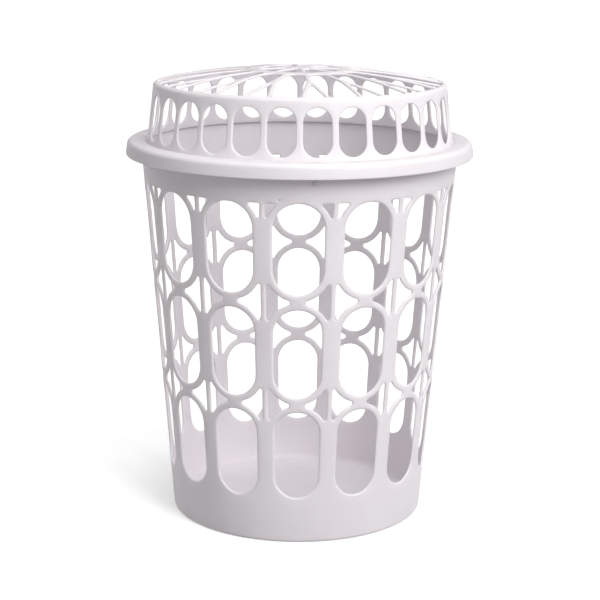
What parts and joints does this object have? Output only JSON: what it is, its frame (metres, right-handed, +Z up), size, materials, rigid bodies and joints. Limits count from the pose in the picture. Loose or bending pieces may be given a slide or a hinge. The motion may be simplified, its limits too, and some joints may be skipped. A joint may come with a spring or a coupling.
{
  "type": "laundry hamper with lid",
  "caption": "Round tapered laundry hamper: an openwork moulded plastic basket with a solid floor and a domed openwork lid that lifts off its rim.",
  "frame": {"origin": "centre of the basket's foot, on the surface that it stands on", "axes": "+Z up along the basket's axis, -Y towards the front, +X to the right seen from the front"},
  "size_m": [0.43, 0.43, 0.559],
  "materials": {
    "white_plastic": "satin moulded polypropylene, white with a slight lilac-grey cast"
  },
  "bodies": {
    "basket": {"basket": "white_plastic"},
    "lid": {"lid": "white_plastic"}
  },
  "joints": [
    {"name": "lid_lift", "type": "slide", "parent": "basket", "child": "lid", "axis": [0, 0, 1], "range_m": [0, 0.3]}
  ]
}
